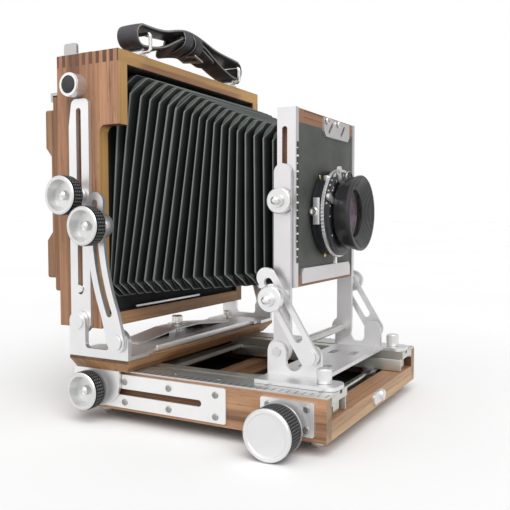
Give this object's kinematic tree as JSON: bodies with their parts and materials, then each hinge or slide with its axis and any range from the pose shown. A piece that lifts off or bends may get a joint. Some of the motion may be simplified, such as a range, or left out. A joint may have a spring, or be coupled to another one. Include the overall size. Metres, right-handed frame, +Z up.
{
  "type": "folding field camera",
  "caption": "Wooden folding view camera for sheet film: slotted bed with rack focusing, tilting front and rear standards, pleated bellows, shutter lens and carrying strap.",
  "frame": {"origin": "mouth of the tripod socket in the underside of the bed", "axes": "+Z up, -Y the way the lens looks, +X across to the camera's left hand as it faces its subject"},
  "size_m": [0.2378, 0.2229, 0.2789],
  "materials": {
    "walnut": "satin oiled",
    "black_panel": "matt",
    "satin_alloy": "satin anodised",
    "ruler_alloy": "grey anodised",
    "black_alloy": "black, satin",
    "steel": "satin",
    "bright": "polished",
    "board_black": "crackle black",
    "lens_glass": "coated",
    "ground": "ground",
    "bellows_skin": "matt",
    "strap_leather": "satin grain"
  },
  "bodies": {
    "bed": {"bed_frame": "walnut", "bed_floor": "black_panel", "tripod_plate": "satin_alloy", "bed_feet": "steel", "guide_rails": "ruler_alloy", "side_plates": "satin_alloy"},
    "bed_latch": {"bed_latch": "bright"},
    "focus_track": {"focus_track": "satin_alloy"},
    "focus_drive": {"pinion_shaft": "steel", "focus_knob_left": "satin_alloy", "focus_knob_right": "satin_alloy"},
    "front_base": {"front_base": "satin_alloy", "tilt_rod": "steel"},
    "front_lock_left": {"front_lock_left": "satin_alloy"},
    "front_lock_right": {"front_lock_right": "satin_alloy"},
    "front_posts": {"front_posts": "satin_alloy"},
    "front_struts": {"front_struts": "satin_alloy"},
    "strut_nut_left": {"strut_nut_left": "satin_alloy"},
    "strut_nut_right": {"strut_nut_right": "satin_alloy"},
    "front_clamp": {"clamp_bolts": "steel"},
    "clamp_nut_left": {"clamp_nut_left": "satin_alloy"},
    "clamp_nut_right": {"clamp_nut_right": "satin_alloy"},
    "lens_frame": {"lens_frame": "walnut", "frame_channels": "satin_alloy", "lens_board": "board_black", "shutter_body": "black_alloy", "lens_barrels": "black_alloy", "lens_elements": "lens_glass"},
    "board_clamp": {"board_clamp": "satin_alloy"},
    "speed_ring": {"speed_ring": "bright"},
    "aperture_lever": {"aperture_lever": "bright"},
    "cocking_lever": {"cocking_lever": "bright"},
    "release_lever": {"release_lever": "bright"},
    "carriage": {"carriage_board": "walnut", "carriage_cheeks": "satin_alloy"},
    "carriage_knob_left": {"carriage_knob_left": "satin_alloy"},
    "carriage_knob_right": {"carriage_knob_right": "satin_alloy"},
    "swing_pivot": {"swing_pivot": "steel"},
    "rear_base": {"rear_bracket": "satin_alloy", "swing_spring": "steel"},
    "swing_lock": {"swing_lock": "satin_alloy"},
    "shift_lock": {"shift_lock": "satin_alloy"},
    "rear_arms": {"rear_arms": "satin_alloy"},
    "rear_struts": {"rear_struts": "satin_alloy"},
    "strut_knob_left": {"strut_knob_left": "satin_alloy"},
    "strut_knob_right": {"strut_knob_right": "satin_alloy"},
    "rear_frame": {"rear_frame": "walnut", "frame_studs": "steel", "back_panel": "walnut", "back_springs": "steel", "handle_lugs": "bright", "handle_strap": "strap_leather", "bellows": "bellows_skin"},
    "arm_knob_left": {"arm_knob_left": "satin_alloy"},
    "arm_knob_right": {"arm_knob_right": "satin_alloy"},
    "back_latches": {"back_latches": "satin_alloy"},
    "focusing_back": {"focusing_frame": "walnut", "ground_glass": "ground"},
    "handle_loop_left": {"handle_loop_left": "bright"},
    "handle_loop_right": {"handle_loop_right": "bright"}
  },
  "joints": [
    {"name": "focus_slide", "type": "slide", "parent": "bed", "child": "focus_track", "axis": [0, -1, 0], "range_m": [0, 0.09], "deforming": ["bellows"]},
    {"name": "focus_turn", "type": "hinge", "parent": "bed", "child": "focus_drive", "pos_m": [0, -0.068, 0.0069], "axis": [1, 0, 0], "range_deg": [-1, 861]},
    {"name": "front_slide", "type": "slide", "parent": "focus_track", "child": "front_base", "axis": [0, -1, 0], "range_m": [-0.05, 0.01], "deforming": ["bellows"]},
    {"name": "front_lock_left_turn", "type": "hinge", "parent": "front_base", "child": "front_lock_left", "pos_m": [-0.0693, -0.085, 0.034], "axis": [0, 0, 1], "continuous": true},
    {"name": "front_lock_right_turn", "type": "hinge", "parent": "front_base", "child": "front_lock_right", "pos_m": [0.0693, -0.085, 0.034], "axis": [0, 0, 1], "continuous": true},
    {"name": "front_tilt", "type": "hinge", "parent": "front_base", "child": "front_posts", "pos_m": [0, -0.048, 0.044], "axis": [1, 0, 0], "range_deg": [-8, 8], "deforming": ["bellows"]},
    {"name": "front_strut_swing", "type": "hinge", "parent": "front_base", "child": "front_struts", "pos_m": [0, -0.0724, 0.0435], "axis": [1, 0, 0], "range_deg": [-6, 6]},
    {"name": "strut_nut_left_turn", "type": "hinge", "parent": "front_posts", "child": "strut_nut_left", "pos_m": [-0.066, -0.05015, 0.0795], "axis": [1, 0, 0], "continuous": true},
    {"name": "strut_nut_right_turn", "type": "hinge", "parent": "front_posts", "child": "strut_nut_right", "pos_m": [0.066, -0.05015, 0.0795], "axis": [1, 0, 0], "continuous": true},
    {"name": "lens_tilt", "type": "hinge", "parent": "front_posts", "child": "front_clamp", "pos_m": [0, -0.05015, 0.141], "axis": [1, 0, 0], "range_deg": [-10, 10], "deforming": ["bellows"]},
    {"name": "lens_rise", "type": "slide", "parent": "front_clamp", "child": "lens_frame", "axis": [0, 0, 1], "range_m": [-0.02, 0.035], "deforming": ["bellows"]},
    {"name": "clamp_nut_left_turn", "type": "hinge", "parent": "front_clamp", "child": "clamp_nut_left", "pos_m": [-0.06, -0.05015, 0.141], "axis": [1, 0, 0], "continuous": true},
    {"name": "clamp_nut_right_turn", "type": "hinge", "parent": "front_clamp", "child": "clamp_nut_right", "pos_m": [0.06, -0.05015, 0.141], "axis": [1, 0, 0], "continuous": true},
    {"name": "board_clamp_slide", "type": "slide", "parent": "lens_frame", "child": "board_clamp", "axis": [0.7071, 0, 0.7071], "range_m": [0, 0.008]},
    {"name": "speed_ring_turn", "type": "hinge", "parent": "lens_frame", "child": "speed_ring", "pos_m": [0, -0.0665, 0.1334], "axis": [0, 1, 0], "range_deg": [-60, 60]},
    {"name": "aperture_turn", "type": "hinge", "parent": "lens_frame", "child": "aperture_lever", "pos_m": [0, -0.0626, 0.1334], "axis": [0, 1, 0], "range_deg": [-35, 35]},
    {"name": "cocking_turn", "type": "hinge", "parent": "lens_frame", "child": "cocking_lever", "pos_m": [-0.00899, -0.071, 0.15565], "axis": [0, 1, 0], "range_deg": [0, 45]},
    {"name": "release_press", "type": "hinge", "parent": "lens_frame", "child": "release_lever", "pos_m": [-0.02255, -0.071, 0.14161], "axis": [0, 1, 0], "range_deg": [0, 12], "stiffness_Nm_per_rad": 0.01},
    {"name": "carriage_slide", "type": "slide", "parent": "bed", "child": "carriage", "axis": [0, -1, 0], "range_m": [0, 0.06], "deforming": ["bellows"]},
    {"name": "carriage_knob_left_turn", "type": "hinge", "parent": "carriage", "child": "carriage_knob_left", "pos_m": [-0.1, 0.0762, 0.0132], "axis": [1, 0, 0], "continuous": true},
    {"name": "carriage_knob_right_turn", "type": "hinge", "parent": "carriage", "child": "carriage_knob_right", "pos_m": [0.1, 0.0762, 0.0132], "axis": [1, 0, 0], "continuous": true},
    {"name": "rear_shift", "type": "slide", "parent": "carriage", "child": "swing_pivot", "axis": [1, 0, 0], "range_m": [-0.01, 0.01], "deforming": ["bellows"]},
    {"name": "rear_swing", "type": "hinge", "parent": "swing_pivot", "child": "rear_base", "pos_m": [0, 0.072, 0.04], "axis": [0, 0, 1], "range_deg": [-8, 8], "deforming": ["bellows"]},
    {"name": "swing_lock_turn", "type": "hinge", "parent": "rear_base", "child": "swing_lock", "pos_m": [0, 0.072, 0.048], "axis": [0, 0, 1], "continuous": true},
    {"name": "shift_lock_turn", "type": "hinge", "parent": "rear_base", "child": "shift_lock", "pos_m": [0.08, 0.072, 0.042], "axis": [0, 0, 1], "continuous": true},
    {"name": "rear_tilt", "type": "hinge", "parent": "rear_base", "child": "rear_arms", "pos_m": [0, 0.082, 0.06], "axis": [1, 0, 0], "range_deg": [-8, 8], "deforming": ["bellows"]},
    {"name": "rear_strut_swing", "type": "hinge", "parent": "rear_base", "child": "rear_struts", "pos_m": [0, 0.0465, 0.049], "axis": [1, 0, 0], "range_deg": [-7, 7]},
    {"name": "strut_knob_left_turn", "type": "hinge", "parent": "rear_arms", "child": "strut_knob_left", "pos_m": [-0.11, 0.063, 0.125], "axis": [1, 0, 0], "continuous": true},
    {"name": "strut_knob_right_turn", "type": "hinge", "parent": "rear_arms", "child": "strut_knob_right", "pos_m": [0.11, 0.063, 0.125], "axis": [1, 0, 0], "continuous": true},
    {"name": "rear_rise", "type": "slide", "parent": "rear_arms", "child": "rear_frame", "axis": [0, 0, 1], "range_m": [0, 0.05], "deforming": ["bellows"]},
    {"name": "arm_knob_left_turn", "type": "hinge", "parent": "rear_frame", "child": "arm_knob_left", "pos_m": [-0.11, 0.082, 0.145], "axis": [1, 0, 0], "continuous": true},
    {"name": "arm_knob_right_turn", "type": "hinge", "parent": "rear_frame", "child": "arm_knob_right", "pos_m": [0.11, 0.082, 0.145], "axis": [1, 0, 0], "continuous": true},
    {"name": "back_latch_slide", "type": "slide", "parent": "rear_frame", "child": "back_latches", "axis": [0, 0, 1], "range_m": [0, 0.006]},
    {"name": "focusing_back_slide", "type": "slide", "parent": "rear_frame", "child": "focusing_back", "axis": [0, 1, 0], "range_m": [0, 0.012], "stiffness_N_per_m": 400, "deforming": ["back_springs"]},
    {"name": "handle_left_swing", "type": "hinge", "parent": "rear_frame", "child": "handle_loop_left", "pos_m": [-0.068, 0.057, 0.244], "axis": [0, 1, 0], "range_deg": [-25, 35], "deforming": ["handle_strap"]},
    {"name": "handle_right_swing", "type": "hinge", "parent": "rear_frame", "child": "handle_loop_right", "pos_m": [0.054, 0.057, 0.244], "axis": [0, 1, 0], "range_deg": [-36, 26]},
    {"name": "bed_latch_turn", "type": "hinge", "parent": "bed", "child": "bed_latch", "pos_m": [0.006, -0.097, 0.007], "axis": [0, 1, 0], "range_deg": [0, 90]}
  ],
  "couplings": [
    {"joint": "focus_turn", "follows": "focus_slide", "rad_per_m": 166.67},
    {"joint": "front_strut_swing", "follows": "front_tilt", "ratio": 0.687},
    {"joint": "rear_strut_swing", "follows": "rear_tilt", "ratio": 0.847},
    {"joint": "handle_right_swing", "follows": "handle_left_swing", "ratio": -1}
  ]
}
